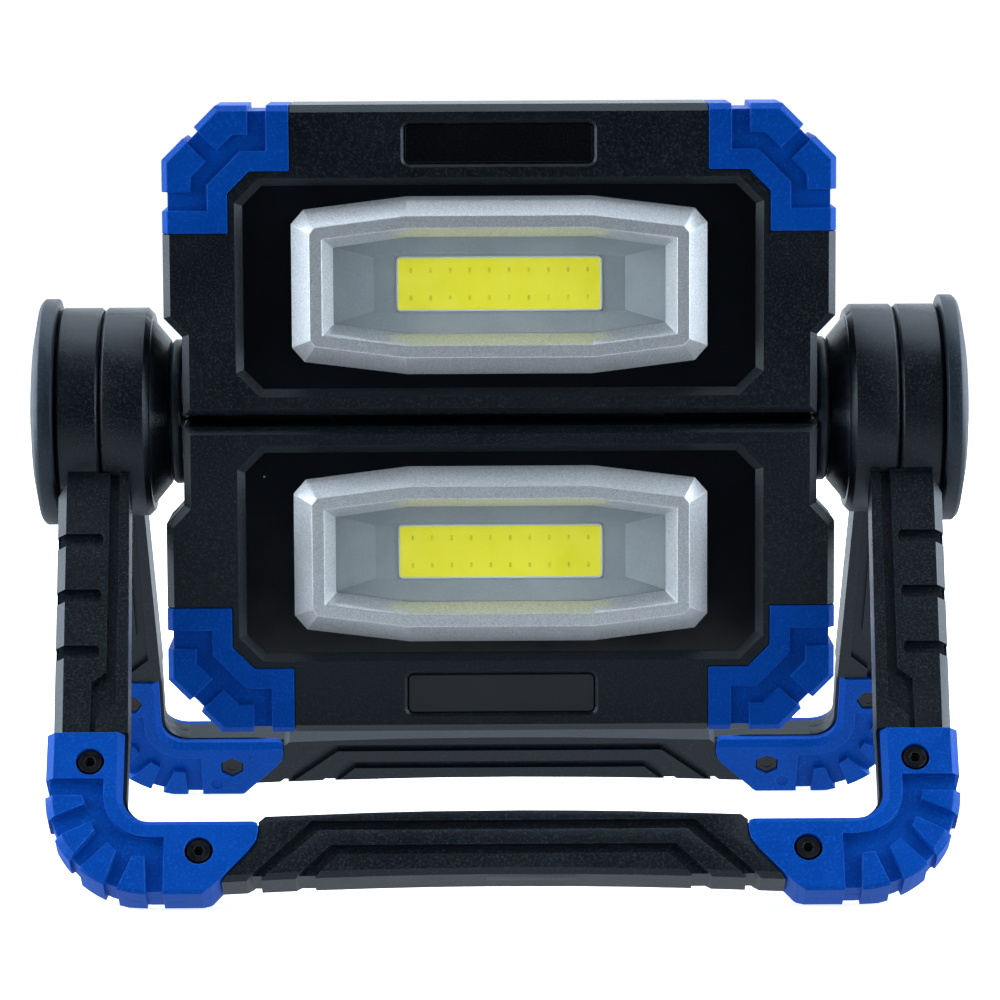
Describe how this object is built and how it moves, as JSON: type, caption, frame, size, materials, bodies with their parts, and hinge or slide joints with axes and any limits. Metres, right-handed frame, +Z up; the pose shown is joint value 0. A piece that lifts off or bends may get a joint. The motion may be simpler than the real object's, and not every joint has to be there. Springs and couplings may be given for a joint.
{
  "type": "work light",
  "caption": "Folding twin-panel LED work light: two hinged lamp panels between two U-shaped folding stands with corner bumpers, all on one hinge shaft.",
  "frame": {"origin": "on the floor under the middle of the hinge shaft, centre of the base of the bounding box", "axes": "+X along the hinge shaft to the right as seen from the lit side, -Y towards the lit side, +Z up"},
  "size_m": [0.3004, 0.2164, 0.2419],
  "materials": {
    "black_housing": "fine moulded texture",
    "blue_bumper": "satin soft-touch overmould",
    "gloss_panel": "polished black",
    "silver_bezel": "silver paint",
    "clear_lens": "clear",
    "reflector_coating": "satin metallised",
    "led_substrate": "white solder mask",
    "phosphor": "silicone phosphor",
    "cast_aluminium": "as extruded",
    "battery_wrap": "shrink wrap",
    "circuit_board": "solder mask",
    "label_plate": "satin",
    "black_steel": "black oxide",
    "black_rubber": "matt",
    "steel": "bright zinc",
    "washer_plastic": "acetal"
  },
  "bodies": {
    "core": {"friction_washers": "washer_plastic", "hinge_disc_left": "black_housing", "hinge_disc_right": "black_housing", "hinge_shaft": "steel", "hub_cap_left": "black_housing", "hub_cap_right": "black_housing", "shaft_nuts": "steel"},
    "front_stand": {"front_stand_corner_left_inner": "blue_bumper", "front_stand_corner_left_outer": "blue_bumper", "front_stand_corner_right_inner": "blue_bumper", "front_stand_corner_right_outer": "blue_bumper", "front_stand_frame_inner_shell": "black_housing", "front_stand_frame_outer_shell": "black_housing", "front_stand_nuts": "black_steel", "front_stand_screws": "black_steel"},
    "rear_stand": {"rear_stand_collars": "black_housing", "rear_stand_corner_left_inner": "blue_bumper", "rear_stand_corner_left_outer": "blue_bumper", "rear_stand_corner_right_inner": "blue_bumper", "rear_stand_corner_right_outer": "blue_bumper", "rear_stand_frame_inner_shell": "black_housing", "rear_stand_frame_outer_shell": "black_housing", "rear_stand_nuts": "black_steel", "rear_stand_screws": "black_steel"},
    "upper_lamp": {"upper_lamp_battery_cells": "battery_wrap", "upper_lamp_bezel": "silver_bezel", "upper_lamp_bumper_left": "blue_bumper", "upper_lamp_bumper_right": "blue_bumper", "upper_lamp_case_screws": "black_steel", "upper_lamp_driver_board": "circuit_board", "upper_lamp_face_panel": "gloss_panel", "upper_lamp_front_housing": "black_housing", "upper_lamp_heat_sink": "cast_aluminium", "upper_lamp_label_plate": "label_plate", "upper_lamp_led_board": "led_substrate", "upper_lamp_led_phosphor": "phosphor", "upper_lamp_lens": "clear_lens", "upper_lamp_lens_seal": "black_rubber", "upper_lamp_rear_housing": "black_housing", "upper_lamp_reflector": "reflector_coating"},
    "lower_lamp": {"lower_lamp_battery_cells": "battery_wrap", "lower_lamp_bezel": "silver_bezel", "lower_lamp_bumper_left": "blue_bumper", "lower_lamp_bumper_right": "blue_bumper", "lower_lamp_case_screws": "black_steel", "lower_lamp_charging_socket": "steel", "lower_lamp_driver_board": "circuit_board", "lower_lamp_face_panel": "gloss_panel", "lower_lamp_front_housing": "black_housing", "lower_lamp_heat_sink": "cast_aluminium", "lower_lamp_label_plate": "label_plate", "lower_lamp_led_board": "led_substrate", "lower_lamp_led_phosphor": "phosphor", "lower_lamp_lens": "clear_lens", "lower_lamp_lens_seal": "black_rubber", "lower_lamp_rear_housing": "black_housing", "lower_lamp_reflector": "reflector_coating"},
    "upper_button": {"upper_lamp_power_button": "black_rubber"},
    "lower_button": {"lower_lamp_power_button": "black_rubber"},
    "port_cover": {"lower_lamp_port_cover": "black_rubber"}
  },
  "joints": [
    {"name": "front_stand_hinge", "type": "hinge", "parent": "core", "child": "front_stand", "pos_m": [0, 0, 0.1426], "axis": [1, 0, 0], "range_deg": [-110, 33.3]},
    {"name": "rear_stand_hinge", "type": "hinge", "parent": "core", "child": "rear_stand", "pos_m": [0, 0, 0.1426], "axis": [1, 0, 0], "range_deg": [-33.3, 110]},
    {"name": "lamp_tilt", "type": "hinge", "parent": "core", "child": "upper_lamp", "pos_m": [0, 0, 0.1426], "axis": [1, 0, 0], "range_deg": [-90, 90]},
    {"name": "lamp_fold", "type": "hinge", "parent": "upper_lamp", "child": "lower_lamp", "pos_m": [0, 0, 0.1426], "axis": [1, 0, 0], "range_deg": [0, 180]},
    {"name": "upper_button_press", "type": "slide", "parent": "upper_lamp", "child": "upper_button", "axis": [0, -0.9999, -0.0105], "range_m": [0, 0.0012], "stiffness_N_per_m": 1200, "springref_m": -0.0006},
    {"name": "lower_button_press", "type": "slide", "parent": "lower_lamp", "child": "lower_button", "axis": [0, -0.9999, -0.0105], "range_m": [0, 0.0012], "stiffness_N_per_m": 1200, "springref_m": -0.0006},
    {"name": "port_cover_hinge", "type": "hinge", "parent": "lower_lamp", "child": "port_cover", "pos_m": [0, -0.00772, 0.04401], "axis": [1, 0, 0], "range_deg": [0, 100]}
  ]
}
